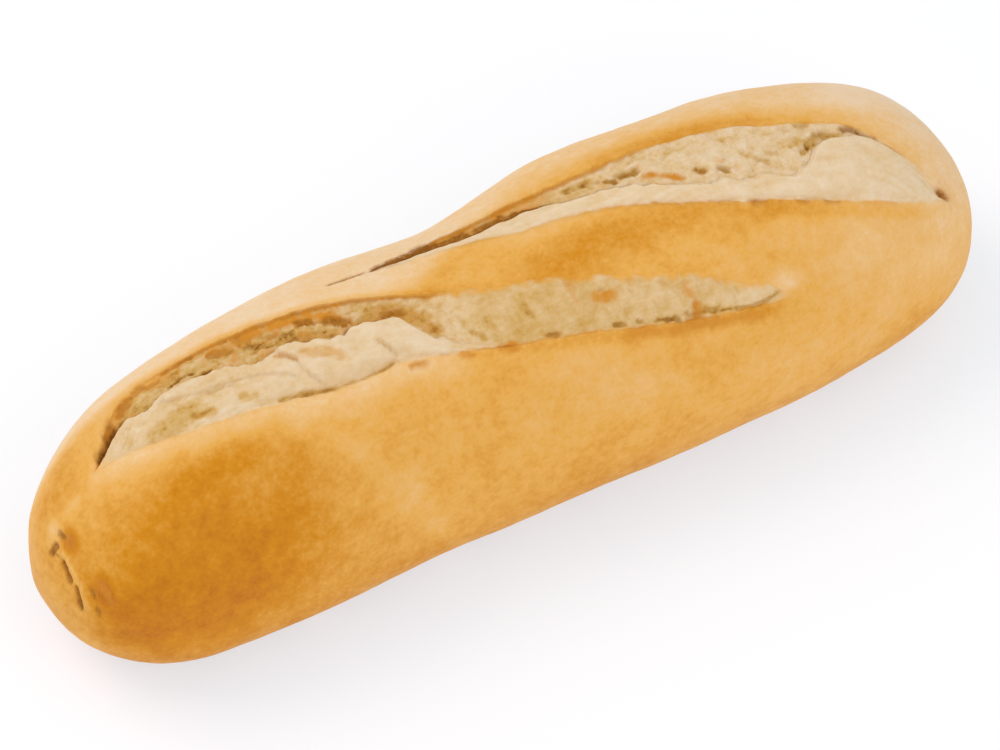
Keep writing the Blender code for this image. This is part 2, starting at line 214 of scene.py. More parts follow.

# Marks, as ragged as real ones: (place, angle) points of the line, half width, depth, and how
# much paler, more toasted and darker they are. The darkening is painted shade in slits, cracks,
# crevices and pits, and partly brown in the browned band behind the left slit.
MARKS = (
    # the slit at the left tip, dark with painted shade, and the browned band behind it
    (((-0.845, -9), (-0.827, -11.6), (-0.794, -16.4), (-0.768, -19.4)), 0.0006, 0.0006, 0, 0, 1),
    (((-0.752, -17.5), (-0.72, -14.3), (-0.70, -15.8)), 0.0003, 0.0003, -0.4, 0, 0.3),
    (((-0.808, -17.5), (-0.785, -21)), 0.0009, 0.0002, 0, 0.6, 0.38),
    (((-0.758, -23.6), (-0.735, -26.5)), 0.0010, 0.0002, 0, 0.6, 0.38),
    (((-0.72, -27), (-0.70, -28)), 0.0009, 0.0002, 0, 0.5, 0.25),
    (((-0.70, -26), (-0.67, -23), (-0.63, -23.5)), 0.0012, 0, -0.12, 0.33, 0),
    # the face of the left score
    (((-0.69, -25.5), (-0.672, -25.2)), 0.0006, 0.0002, 0, 0.33, 0.24),
    (((-0.66, -26.3), (-0.617, -26.3), (-0.59, -26.3)), 0.0003, 0.0001, 0, 0.52, 0.27),
    (((-0.565, -22), (-0.53, -18.5)), 0.0009, 0.0003, 0, 0.6, 0.35),
    (((-0.505, -21), (-0.487, -18.5)), 0.0008, 0.0001, 0, 0.65, 0.15),
    (((-0.462, -16.5), (-0.445, -14.5)), 0.0009, 0.0002, 0, 0.52, 0.3),
    (((-0.51, -18.5), (-0.495, -16), (-0.476, -13), (-0.458, -11)), 0.0008, 0.0003, -0.28, 0, 0.1),
    (((-0.505, -22), (-0.46, -19.5), (-0.42, -17.5), (-0.385, -15.8), (-0.35, -12.8),
      (-0.325, -10)), 0.0011, 0, 0, 0.95, 0),
    (((-0.393, -14.6), (-0.372, -12.6)), 0.0009, 0.0003, 0, 0.8, 0.75),
    (((-0.352, -10.5), (-0.335, -8.5), (-0.312, -5.5)), 0.0011, 0.0003, 0, 0.8, 0.65),
    (((-0.445, -11), (-0.41, -8.5), (-0.375, -5.5), (-0.345, -3.5)), 0.0013, 0.0002,
     -0.2, 0.15, 0.08),
    (((-0.31, -4), (-0.30, -2.5)), 0.0006, 0, 0, 0.52, 0),
    (((-0.66, -18.5), (-0.63, -19.5), (-0.605, -17.5)), 0.0004, 0.0002, -0.36, 0, 0.06),
    (((-0.61, -15.5), (-0.585, -14)), 0.0008, 0.0002, -0.36, 0, 0.12),
    # the crevice over the peak of the left tongue, darkened with painted shade
    (((-0.297, -2.5), (-0.27, -3), (-0.25, -3), (-0.232, -1.5), (-0.217, 1), (-0.203, 4),
      (-0.19, 8.5), (-0.18, 13)), 0.0017, 0.0005, -0.18, 0.3, 0.06),
    (((-0.252, -1.5), (-0.232, -0.5), (-0.215, 0.8)), 0.0009, 0.0004, 0, 0.6, 0.65),
    (((-0.30, -1.5), (-0.288, -0.5)), 0.0006, 0.0002, 0, 0.5, 0.6),
    (((-0.28, 0), (-0.266, 0.6)), 0.0006, 0.0002, 0, 0.5, 0.6),
    # the left tongue and its front edge, the crease under it darkened with painted shade
    (((-0.474, -3.5), (-0.458, -1.2), (-0.443, 2)), 0.0006, 0.0003, 0, 0.6, 0.1),
    (((-0.43, 0.5), (-0.40, 4), (-0.365, 8.5)), 0.0013, 0.0002, -0.35, 0.3, 0),
    (((-0.29, 9), (-0.283, 13), (-0.274, 16), (-0.287, 19)), 0.0004, 0.0003, -0.24, 0, 0.03),
    (((-0.51, 12.8), (-0.464, 14.8), (-0.426, 17.5), (-0.39, 19.2), (-0.34, 19.8),
      (-0.305, 19.8), (-0.289, 19)), 0.0005, 0.0003, -0.36, 0, 0.07),
    (((-0.66, 2.8), (-0.625, 4.6)), 0.0009, 0.0001, -0.35, 0.2, 0.05),
    (((-0.565, 5), (-0.545, 9)), 0.0010, 0.0001, -0.36, 0, 0),
    # the flat part
    (((-0.181, 9.5), (-0.178, 13), (-0.175, 16.3)), 0.0006, 0.0002, -0.22, 0, 0.06),
    (((-0.135, 12.5), (-0.134, 15), (-0.131, 17.7)), 0.0005, 0.0002, -0.2, 0, 0.04),
    (((-0.127, 19.5), (-0.118, 22), (-0.106, 25)), 0.0006, 0.0003, -0.26, 0, 0.1),
    (((-0.091, 17), (-0.083, 21.5)), 0.0006, 0.0002, -0.2, 0, 0.06),
    (((-0.016, 18), (-0.013, 21), (-0.008, 24.5)), 0.0007, 0.0002, -0.22, 0, 0.03),
    (((0.084, 19), (0.079, 25)), 0.0007, 0.0001, 0, 0.4, 0),
    (((-0.262, 23.2), (-0.235, 24.3)), 0.0006, 0.0001, -0.1, 0.8, 0.1),
    (((-0.165, 27), (-0.148, 28.3)), 0.0006, 0, -0.1, 0.7, 0.05),
    (((-0.086, 30.2), (-0.066, 31.4)), 0.0010, 0, 0, 0.9, 0.05),
    (((0.0, 32.6), (0.018, 33.6)), 0.0005, 0.0002, -0.2, 0.2, 0.35),
    (((0.08, 17.5), (0.093, 18.7)), 0.0009, 0.0002, 0, 0.33, 0),
    (((0.122, 26.8), (0.142, 27.6)), 0.0012, 0.0002, 0, 0.85, 0),
    (((0.13, 24.9), (0.136, 24.9)), 0.0004, 0.0002, 0, 0.2, 0.21),
    (((0.192, 26.3), (0.197, 27)), 0.0008, 0.0001, -0.12, 0.23, 0),
    (((0.245, 30.5), (0.25, 31.5)), 0.0008, 0.0001, -0.12, 0.26, 0),
    (((0.283, 35), (0.287, 38)), 0.0010, 0.0001, 0, 0.5, 0),
    (((0.286, 38), (0.287, 42)), 0.0011, 0, 0, 0.23, 0),
    (((0.285, 42), (0.283, 45)), 0.0009, 0.0001, 0, 0.6, 0.12),
    (((0.345, 37.5), (0.352, 39)), 0.0010, 0, 0, 0.23, 0),
    (((0.125, 38.3), (0.14, 39.3)), 0.0005, 0.0003, -0.3, 0, 0.24),
    (((0.168, 40), (0.175, 40.6)), 0.0004, 0.0003, -0.18, 0, 0.36),
    (((0.205, 42.2), (0.225, 43.6)), 0.0006, 0.0003, -0.42, 0, 0.18),
    (((0.236, 43.8), (0.242, 45.2)), 0.0005, 0.0004, -0.18, 0, 0.48),
    (((0.26, 43.6), (0.264, 44.6)), 0.0004, 0.0003, -0.18, 0, 0.27),
    (((0.27, 45.8), (0.29, 46.4)), 0.0006, 0.0002, 0, 0.33, 0.18),
    (((0.30, 45.5), (0.32, 46.6)), 0.0007, 0.0002, -0.36, 0, 0.03),
    (((0.332, 47.6), (0.345, 48.4)), 0.0005, 0.0002, -0.36, 0, 0.06),
    (((0.355, 49), (0.385, 50.6), (0.41, 51), (0.43, 50.8), (0.455, 49.8)), 0.0004, 0.0003,
     -0.24, 0, 0.22),
    (((0.14, 42.2), (0.19, 45.2), (0.24, 48)), 0.0010, 0, 0, 0.65, 0),
    (((0.25, 48), (0.30, 50)), 0.0012, 0, 0, 0.65, 0.09),
    (((0.31, 50.4), (0.35, 52.6)), 0.0009, 0, 0, 0.65, 0),
    (((0.365, 53.6), (0.40, 55)), 0.0012, 0, 0, 0.65, 0),
    # the crack of the right score and the crevices that follow it, dark with painted shade
    (((-0.30, -25), (-0.26, -24.3), (-0.225, -23.6)), 0.0003, 0.0003, 0, 0.3, 0.6),
    (((-0.21, -23.4), (-0.13, -24.3), (-0.08, -25), (-0.04, -24.3), (-0.01, -23.5)), 0.0010,
     0, 0, 0.3, 0.85),
    (((0.005, -23.4), (0.03, -22.9), (0.055, -21.8), (0.086, -19.9), (0.12, -18.2)), 0.0008,
     0, 0, 0.3, 0.8),
    (((-0.10, -25.4), (-0.05, -25.8), (-0.02, -25.6)), 0.0006, 0, 0, 0.7, 0.2),
    (((0.06, -25), (0.10, -23.4), (0.14, -21.4)), 0.0006, 0, 0, 0.5, 0),
    (((0.19, -17.5), (0.216, -17.4), (0.24, -16.6), (0.262, -14.6)), 0.0008, 0.0004,
     -0.32, 0, 0.12),
    (((0.272, -13.5), (0.287, -11.5)), 0.0006, 0.0003, -0.4, 0, 0.6),
    (((0.30, -13.5), (0.316, -12.8), (0.335, -11.5)), 0.0012, 0.0005, -0.45, 0, 0.45),
    (((0.335, -9.2), (0.36, -6.8), (0.40, -1)), 0.0007, 0.0001, 0, 0.9, 0.05),
    (((0.433, -2.6), (0.442, -1)), 0.0008, 0.0005, -0.6, 0.2, 0.5),
    (((0.472, 0.8), (0.482, 2)), 0.0006, 0.0004, -0.4, 0, 0.5),
    (((0.515, -11), (0.545, -9.5)), 0.0006, 0.0001, -0.21, 0, 0),
    (((0.53, -2.5), (0.545, 0)), 0.0007, 0.0003, -0.36, 0, 0.09),
    (((0.55, 2.5), (0.565, 4.5)), 0.0007, 0.0003, -0.36, 0, 0.18),
    (((0.575, 1), (0.59, 2.5)), 0.0006, 0.0002, -0.3, 0, 0.12),
    (((0.61, -0.5), (0.645, 0.5)), 0.0012, 0.0002, -0.27, 0, 0),
    (((0.662, -6.8), (0.685, -6)), 0.0006, 0.0002, -0.3, 0, 0.18),
    (((0.636, 6), (0.65, 4.2)), 0.0008, 0.0003, -0.42, 0, 0.18),
    (((0.655, 4.8), (0.675, 2), (0.70, 0.8), (0.73, 3)), 0.0012, 0.0004, -0.42, 0, 0.12),
    (((0.69, 0), (0.715, 1.5)), 0.0008, 0.0002, 0, 0, 0.12),
    (((0.738, 0.8), (0.75, 1.8), (0.768, 4)), 0.0008, 0.0003, -0.18, 0, 0.7),
    (((0.765, 4.2), (0.777, 6.8), (0.79, 9.8)), 0.0004, 0.0003, 0, 0, 0.6),
    (((0.80, 13.5), (0.815, 17), (0.828, 21)), 0.0005, 0.0002, -0.3, 0, 0.12),
    # the front rim of the right score and the hole at its tip, the hole dark with painted shade
    (((0.484, 17.9), (0.507, 19.9)), 0.0006, 0, 0, 0.75, 0.2),
    (((0.520, 20.6), (0.532, 21.6)), 0.0005, 0, 0, 0.6, 0.15),
    (((0.566, 24), (0.582, 25.2)), 0.0005, 0, 0, 0.7, 0.2),
    (((0.615, 28.4), (0.64, 30.6)), 0.0006, 0, 0, 0.7, 0.25),
    (((0.68, 33.9), (0.75, 39.2)), 0.0004, 0, 0, 0.33, 0),
    (((0.87, 40), (0.885, 46)), 0.0020, 0, 0, 0.2, 0),
    (((0.865, 43), (0.876, 45)), 0.0009, 0.0008, 0, 0.4, 0.85),
    # cracks, dark with painted shade, and toasted spots in the left end
    (((-0.953, 4), (-0.951, 8)), 0.0006, 0.0004, 0, 0.2, 0.65),
    (((-0.975, 6), (-0.967, 7)), 0.0008, 0.0006, 0, 0.1, 0.8),
    (((-0.972, 12), (-0.970, 17)), 0.0003, 0.0003, 0, 0.1, 0.5),
    (((-0.969, 22), (-0.972, 32), (-0.972, 42)), 0.0006, 0.0008, 0, 0.15, 0.8),
    (((-0.967, 47), (-0.969, 57), (-0.970, 70)), 0.0005, 0.0007, 0, 0.1, 0.8),
    (((-0.949, 53), (-0.947, 58)), 0.0004, 0.0003, 0, 0.2, 0.55),
    (((-0.949, 68), (-0.947, 72)), 0.0004, 0.0003, 0, 0.2, 0.55),
    (((-0.950, 9), (-0.945, 14), (-0.945, 21)), 0.0013, 0, 0, 0.6, 0.08),
    (((-0.984, 11), (-0.983, 16)), 0.0005, 0, 0, 0.5, 0),
    (((-0.934, 48), (-0.930, 54), (-0.928, 62)), 0.0013, 0, 0, 0.6, 0.03),
)
END_RIDGE = ((-0.962, 10), (-0.9625, 25), (-0.962, 45), (-0.960, 72))

# Places where the crust is baked more or less than elsewhere: place, angle, reach along the loaf,
# reach round it, change
BAKES = (
    (-0.74, 70, 0.28, 48, 0.37),
    (-0.66, 25, 0.10, 8, 0.16),
    (-0.90, 90, 0.10, 30, 0.10),
    (-0.93, -20, 0.06, 22, 0.13),
    (-0.50, 48, 0.12, 20, -0.10),
    (-0.40, 68, 0.12, 24, -0.10),
    (0.10, 62, 0.22, 26, -0.10),
    (0.05, 92, 0.22, 24, 0.12),
    (0.42, 84, 0.14, 18, -0.08),
    (0.62, 52, 0.10, 12, -0.14),
    (0.72, 52, 0.12, 20, -0.10),
    (0.88, 50, 0.16, 34, -0.20),
    (0.94, -10, 0.16, 60, -0.36),
    (0.20, 9, 0.19, 11, 0.22),
    (-0.20, -17, 0.12, 8, 0.02),
    (0.58, 34, 0.14, 8, -0.08),
    (0.47, 48, 0.03, 4, -0.35),
    (0.10, -45, 0.22, 16, 0.10),
    (-0.913, -1, 0.02, 5, -0.22),
    (-0.956, -4, 0.014, 7, -0.30),
    (0.16, -32, 0.10, 5, 0.10),
    (-0.946, 15, 0.012, 8, 0.50),
    (-0.930, 55, 0.011, 9, 0.38),
    (0.80, -8, 0.07, 14, -0.12),
)

# Strips of crust along the scores' edges that are baked more or less: the edge, how far in front
# of it the strip lies, reach, places where it fades in and where it fades out, change
EDGE_BAKES = (
    ("left_front", 2, 7, (-0.93, -0.80), (-0.08, -0.28), -0.30),
    ("left_back", -0.8, 1.6, (-0.78, -0.62), (0.0, -0.2), 0.14),
    ("right_back", -4, 6, (0.12, 0.28), (0.74, 0.5), 0.13),
    ("right_front", 2, 4.5, (-0.02, 0.10), (0.45, 0.2), -0.12),
    ("left_front", 2, 3, (-0.10, 0.05), (0.50, 0.40), 0.16),
    ("right_front", 4, 3.5, (0.30, 0.5), (0.88, 0.76), 0.18),
)
PLAIN_BAKE = 0.50
LOW_BAKE = 0.16         # how much browner the crust is near the floor
# the crust behind the back line is paler: partly a paler bake, partly painted light falling on the
# back
PALE_BACK = 0.42        # how much paler it is behind the back line
BACK_LINE = ((-1, -45), (-0.86, -38), (-0.66, -31), (-0.5, -24), (-0.18, -8), (0.02, -26),
             (0.44, -26), (0.8, -10), (1, -10))
END_BLEND = (0.020, 0.006)      # distances from an end point over which the baking evens out
BULGE_END = ((-0.54, 22), (-0.506, 27), (-0.45, 39), (-0.40, 54), (-0.34, 73), (-0.31, 92))

# Places where the dough inside the scores is paler or darker, in the same way
TINTS = (
    (-0.71, 0, 0.055, 6, -0.42),
    (-0.66, -2, 0.030, 4, -0.15),
    (-0.55, -2, 0.06, 8, -0.10),
    (-0.42, 14, 0.10, 4, -0.16),
    (-0.20, 14, 0.03, 8, 0.10),
    (0.40, 47, 0.05, 3, 0.15),
    (-0.25, 8, 0.04, 3, 0.04),
    (0.49, -4, 0.07, 8, 0.10),
    (0.31, 38, 0.04, 6, -0.08),
)

# Strands of the grid, and how a score's strands are shared among the spans of its profile
BACK_STRANDS = 34
BRIDGE_STRANDS = 12
FRONT_STRANDS = 42
SPAN_STRANDS = (3, 4, 26, 10, 18, 13, 6)
STATIONS = 400
CROWDING = 1.5      # how strongly the strands outside the scores crowd beside them
FINE_POINTS = 8001  # points along the skin from which the stations are spaced

# Places round which the stations crowd: place, reach, extra share
CROWDED = ((-0.962, 0.025, 1.2), (-0.55, 0.3, 0.25))

# Gentle unevenness of the whole skin: height, size of its features, seed, octaves
WAVES = ((0.00035, 0.028, 71, 1), (0.00012, 0.008, 73, 2))

FLOOR_SIZE = 6.0
SENSOR_WIDTH = 36.0                         # in millimetres, as the focal length is
AIM_SHIFT = (-0.0031, -0.0028, -0.0046)     # from the loaf's middle to where the camera aims


def tone(red, green, blue):
    """Linear colour from the 0 to 255 values of a paint chart."""
    return tuple(((c / 255 + 0.055) / 1.055) ** 2.4 for c in (red, green, blue))


def smooth_line(places, values, at):
    """Read a smooth line through values at rising places, level at its highs, lows and ends."""
    places = np.asarray(places, float)
    values = np.asarray(values, float)
    at = np.asarray(at, float)
    steps = np.diff(places).reshape((-1,) + (1,) * (values.ndim - 1))
    rates = np.diff(values, axis=0) / steps
    slopes = np.zeros_like(values)
    product = rates[:-1] * rates[1:]
    both = np.where(product > 0, rates[:-1] + rates[1:], 1.0)
    slopes[1:-1] = np.where(product > 0, 2 * product / both, 0.0)
    index = np.clip(np.searchsorted(places, at, side="right") - 1, 0, len(places) - 2)
    shape = at.shape + (1,) * (values.ndim - 1)
    step = (places[index + 1] - places[index]).reshape(shape)
    share = np.clip((at - places[index]).reshape(shape) / step, 0, 1)
    change = values[index + 1] - values[index]
    low = slopes[index] * step
    high = slopes[index + 1] * step
    bend = (low + high - 2 * change) * share + 3 * change - 2 * low - high
    return values[index] + share * (low + share * bend)


def curve(points, at):
    """Smooth line through (place, value) points."""
    places, values = zip(*points)
    return smooth_line(places, values, at)


def bell(offset, reach):
    """A hump of height 1 that fades within about twice its reach."""
    return np.exp(-((offset / reach) ** 2))


def ramp(value, start, end):
    """0 before start, 1 after end and smooth between them. Start may be the higher one."""
    share = np.clip((value - start) / (end - start), 0, 1)
    return share * share * (3 - 2 * share)


def noise_at(points, size, seed, octaves=1):
    """Smooth noise of about -1 to 1 at points, with features of the given size along each axis."""
    shape = points.shape[:-1]
    spots = points.reshape(-1, 3) / np.asarray(size, float) + 13.7 * seed
    if octaves == 1:
        values = [noise.noise(Vector(spot)) for spot in spots]
    else:
        values = [noise.fractal(Vector(spot), 0.9, 2.0, octaves) for spot in spots]
    return np.array(values).reshape(shape)


def pits_at(points, size, seed):
    """Round pits: 1 at the middle of scattered cells, 0 at their rims and in the cells left out."""
    shape = points.shape[:-1]
    spots = points.reshape(-1, 3) / np.asarray(size, float) + 7.1 * seed
    depth = np.empty(len(spots))
    for index, spot in enumerate(spots):
        distances, centres = noise.voronoi(Vector(spot))
        kept = noise.cell(centres[0] * 9.3)
        depth[index] = max(0.0, 1 - distances[0] / 0.45) if kept > 0.1 else 0.0
    return depth.reshape(shape)


def wander(place, size, seed):
    """Noise of about -1 to 1 along the loaf, with features of the given size in metres."""
    spots = np.stack([0.5 * LENGTH * place, 0 * place, 0 * place], -1)
    return noise_at(spots, size, seed, 2)


def loaf_points(place, angle):
    """Points of the plain loaf, without its scores, before the loaf is centred."""
    width, height = PLAIN_WIDTH * LENGTH, PLAIN_HEIGHT * LENGTH
    place, angle = np.broadcast_arrays(place, angle)
    round_off = np.sqrt(np.clip(1 - np.abs(place) ** END_POWER, 0, 1))
    level = GIRTH_LEVEL * height
    sine, cosine = np.sin(np.radians(angle)), np.cos(np.radians(angle))
    power = np.where(cosine > 0, TOP_POWER, BOTTOM_POWER)
    reach = round_off * (np.abs(sine) ** power + np.abs(cosine) ** power) ** (-1 / power)
    rise = np.where(cosine > 0, height - level, BASE_PRESS * level)
    y = BOW * (1 - place ** 2) - 0.5 * width * (1 + TAPER * place) * sine * reach
    z = level + rise * cosine * reach
    for middle, length_reach, facing, spread, swell_height in SWELLS:
        swell = swell_height * bell(place - middle, length_reach) * bell(angle - facing, spread)
        swell = swell * np.sqrt(round_off)
        y = y - swell * math.sin(math.radians(facing))
        z = z + swell * math.cos(math.radians(facing))
    return np.stack([0.5 * LENGTH * place, y, np.maximum(z, 0)], -1)


def outward(place, angle):
    """Unit vectors that point straight out of the plain loaf."""
    step = 0.001
    inner = np.clip(place, -1 + 2 * step, 1 - 2 * step)
    along = loaf_points(inner + step, angle) - loaf_points(inner - step, angle)
    around = loaf_points(inner, angle + 1) - loaf_points(inner, angle - 1)
    normal = np.cross(around, along)
    return normal / np.linalg.norm(normal, axis=-1, keepdims=True)


def line_offset(grid, line, reach):
    """Distance of the grid's points from a line of (place, angle) points, positive on the left
    along it, and how far along it each point lies. Points out of reach stay infinitely far."""
    line = np.array(line, float)
    knots = np.arange(len(line))
    track = smooth_line(knots, line, np.linspace(0, knots[-1], 8 * knots[-1] + 1))
    path = loaf_points(track[:, 0], track[:, 1])
    low, high = path.min(0) - reach, path.max(0) + reach
    near = np.all((grid.points > low) & (grid.points < high), axis=-1)
    spots, normals = grid.points[near], grid.normals[near]
    offset, run = np.full(len(spots), np.inf), np.zeros(len(spots))
    for index, (start, step) in enumerate(zip(path[:-1], np.diff(path, axis=0))):
        share = np.clip((spots - start) @ step / (step @ step), 0, 1)
        gap = spots - start - share[:, None] * step
        distance = np.linalg.norm(gap, axis=-1)
        closer = distance < np.abs(offset)
        side = np.sign(np.sum(np.cross(step, gap) * normals, axis=-1))
        offset[closer] = (distance * np.where(side == 0, 1, side))[closer]
        run[closer] = ((index + share) / (len(path) - 1))[closer]
    offsets, runs = np.full(near.shape, np.inf), np.zeros(near.shape)
    offsets[near], runs[near] = offset, run
    return offsets, runs


def tips(score):
    """Places of a score's left and right tips."""
    return score["crease"][0][0], score["crease"][-1][0]


def score_lines(score, place, seed):
    """A score's edges, heights and depths station by station, a little ragged along the loaf."""
    lines = SimpleNamespace(**{name: curve(points, place) for name, points in score.items()})
    first, last = tips(score)
    lines.taper = ramp(place, first, first + 0.05) * ramp(place, last, last - 0.05)
    coarse, fine = 0.008, 0.0026
    lines.back += lines.taper * (0.4 * wander(place, coarse, seed)
                                 + 0.4 * (1 + lines.flat) * wander(place, fine, seed + 1))
    lines.front += lines.taper * (0.6 * wander(place, coarse, seed + 2)
                                  + 0.5 * wander(place, fine, seed + 3))
    lines.ear *= 1 + 0.35 * wander(place, coarse, seed + 4) + 0.2 * wander(place, fine, seed + 5)
    lines.groove *= 1 + 0.3 * wander(place, coarse, seed + 6)
    lines.valley += lines.taper * (lines.valley - lines.back) * (
        0.08 * wander(place, coarse, seed + 7) + 0.10 * wander(place, fine, seed + 8))
    lines.tongue *= 1 + 0.3 * wander(place, coarse, seed + 9)
    share = np.clip((place - first) / (last - first), 0, 1)
    lines.rim = FRONT_LIP * np.sqrt(4 * share * (1 - share))
    return lines


def crust_lift(lines, angle):
    """Rise of the crust beside a score: towards its lifted back edge and its front rim."""
    back, front = lines.back[:, None], lines.front[:, None]
    behind = lines.ear[:, None] * bell(back - angle, EAR_REACH)
    before = lines.rim[:, None] * bell(angle - front, LIP_REACH)
    return np.where(angle <= back, behind, np.where(angle >= front, before, 0.0))


def score_profile(lines, width, steps):
    """Shares of the way across a score and heights over the plain loaf, station by station."""
    groove_at = (lines.valley - lines.back) / (lines.front - lines.back)
    groove_at = np.clip(groove_at, GROOVE_FROM_EDGE / width, 0.9)
    beyond = 1 - groove_at
    crest = np.minimum(CREST / width, 0.4 * beyond)
    zero = np.zeros_like(width)
    across = (zero, np.minimum(EAR_LIP / width, 0.25 * groove_at),
              np.minimum(EAR_FOOT / width, 0.6 * groove_at), groove_at,
              groove_at + crest, groove_at + 0.65 * beyond, groove_at + 0.93 * beyond, zero + 1)
    heights = (lines.ear, 0.6 * lines.ear, -0.3 * lines.groove, -lines.groove, lines.tongue,
               0.75 * lines.tongue, -lines.crease, lines.rim)
    knots = np.arange(len(across))
    return (smooth_line(knots, np.array(across), steps).T,
            smooth_line(knots, np.array(heights), steps).T, groove_at)


def span_steps():
    """Steps of the profile at a score's strands, its back edge left out and its front edge kept."""
    steps = [span + (index + 1) / count
             for span, count in enumerate(SPAN_STRANDS) for index in range(count)]
    return np.array(steps)


def station_places():
    """Places of the rings between the two ends, spaced along the skin and closer together round
    the cracks in the left end and over the left score."""
    fine = np.sin(np.linspace(-0.5, 0.5, FINE_POINTS) * math.pi)
    line = loaf_points(fine, 0.0)
    run = np.linalg.norm(np.diff(line, axis=0), axis=-1)
    middle = 0.5 * (fine[1:] + fine[:-1])
    crowd = 1
    for place, reach, extra in CROWDED:
        crowd = crowd + extra * bell(middle - place, reach)
    run = run * crowd
    travel = np.concatenate([[0], np.cumsum(run)])
    return np.interp(np.linspace(0, 1, STATIONS + 1)[1:-1], travel / travel[-1], fine)


def score_band(lines, place):
    """One score on the grid: its angles, heights and where each point lies in it."""
    steps = span_steps()
    near, far = loaf_points(place, lines.front), loaf_points(place, lines.back)
    width = np.linalg.norm(near - far, axis=-1) + 0.001
    share, height, valley = score_profile(lines, width, steps)
    column = place[:, None]
    angle = lines.back[:, None] + (lines.front - lines.back)[:, None] * share
    band = SimpleNamespace(
        angle=angle, share=share, height=height, step=steps + 0 * angle, place=column + 0 * angle,
        points=loaf_points(column, angle), along=0.5 * LENGTH * column + 0 * angle,
        across=share * width[:, None], before=(1 - share) * width[:, None],
        off_valley=(share - valley[:, None]) * width[:, None])
    for name in ("taper", "flat", "shade", "torn", "scorch", "tone", "line", "crease", "skin"):
        setattr(band, name, getattr(lines, name)[:, None] + 0 * angle)
    return band


def crumb_texture(band, seed):
    """Noise patterns of torn dough over a score: strings that cross it, wisps that run along it,
    round lumps and pits. Each is about -1 to 1, the pits 0 to 1."""
    zero = np.zeros_like(band.along)
    across = np.stack([band.along, 0.3 * band.across, zero], -1)
    along = np.stack([0.14 * band.along + 0.10 * band.across, band.across, zero], -1)
    return SimpleNamespace(
        strings=1 - 2.6 * np.abs(noise_at(across, 0.0017, seed, 2)),
        wisps=noise_at(along, 0.0017, seed + 1, 3),
        lumps=noise_at(band.points, 0.0042, seed + 2, 2),
        grain=noise_at(band.points, 0.0014, seed + 3, 3),
        pits=pits_at(band.points, 0.0029, seed + 4))


def torn_relief(band):
    """Height of the torn dough inside a score, over its smooth profile."""
    made = band.texture
    face = ramp(band.step, 1.0, 2.1) * ramp(band.step, 3.4, 2.9)
    coarse = band.torn * (0.00038 * made.lumps + 0.00022 * made.strings + 0.00024 * made.grain
                          - 0.0004 * made.pits)
    tongue = ramp(band.step, 3.0, 3.6) * ramp(band.step, 7.0, 6.2)
    coarser = ramp(band.place, *COARSER)
    silky = ((0.00022 + 0.00012 * coarser) * made.wisps + 0.00022 * made.lumps
             + (0.00008 + 0.00010 * coarser) * made.grain)
    inside = ramp(band.share, 0.0, 0.25) * ramp(band.step, 7.0, 6.5)
    mottled = (0.00012 * made.strings + 0.00018 * made.lumps + 0.00010 * made.grain
               - 0.00015 * made.pits)
    torn_dough = face * coarse + tongue * silky
    return band.taper * ((1 - band.flat) * torn_dough + band.flat * inside * mottled)


def loaf_grid():
    """The whole skin as a grid of stations by strands, with both scores' bands laid into it."""
    place = station_places()
    column = place[:, None]
    right_lines = score_lines(RIGHT_SCORE, place, 200)
    left_lines = score_lines(LEFT_SCORE, place, 100)
    right, left = score_band(right_lines, place), score_band(left_lines, place)
    behind = 1 - (1 - np.arange(BACK_STRANDS + 1) / BACK_STRANDS) ** CROWDING
    between = np.arange(1, BRIDGE_STRANDS + 1) / BRIDGE_STRANDS
    before = (np.arange(1, FRONT_STRANDS) / FRONT_STRANDS) ** CROWDING
    right_back, right_front = right_lines.back[:, None], right_lines.front[:, None]
    left_back, left_front = left_lines.back[:, None], left_lines.front[:, None]
    angle = np.concatenate([
        -180 + (right_back + 180) * behind, right.angle,
        right_front + (left_back - right_front) * between, left.angle,
        left_front + (180 - left_front) * before], axis=1)
    strands = sum(SPAN_STRANDS)
    right.columns = slice(BACK_STRANDS + 1, BACK_STRANDS + 1 + strands)
    left_start = right.columns.stop + BRIDGE_STRANDS
    left.columns = slice(left_start, left_start + strands)
    height = np.zeros_like(angle)
    for lines, band in ((right_lines, right), (left_lines, left)):
        lift = crust_lift(lines, angle)
        lift[:, band.columns] = 0
        height += lift
    for band, seed in ((right, 20), (left, 10)):
        band.texture = crumb_texture(band, seed)
        height[:, band.columns] += band.height + torn_relief(band)
    return SimpleNamespace(
        place=column + 0 * angle, angle=angle, height=height, right=right, left=left,
        right_lines=right_lines, left_lines=left_lines, points=loaf_points(column, angle),
        normals=outward(column + 0 * angle, angle))


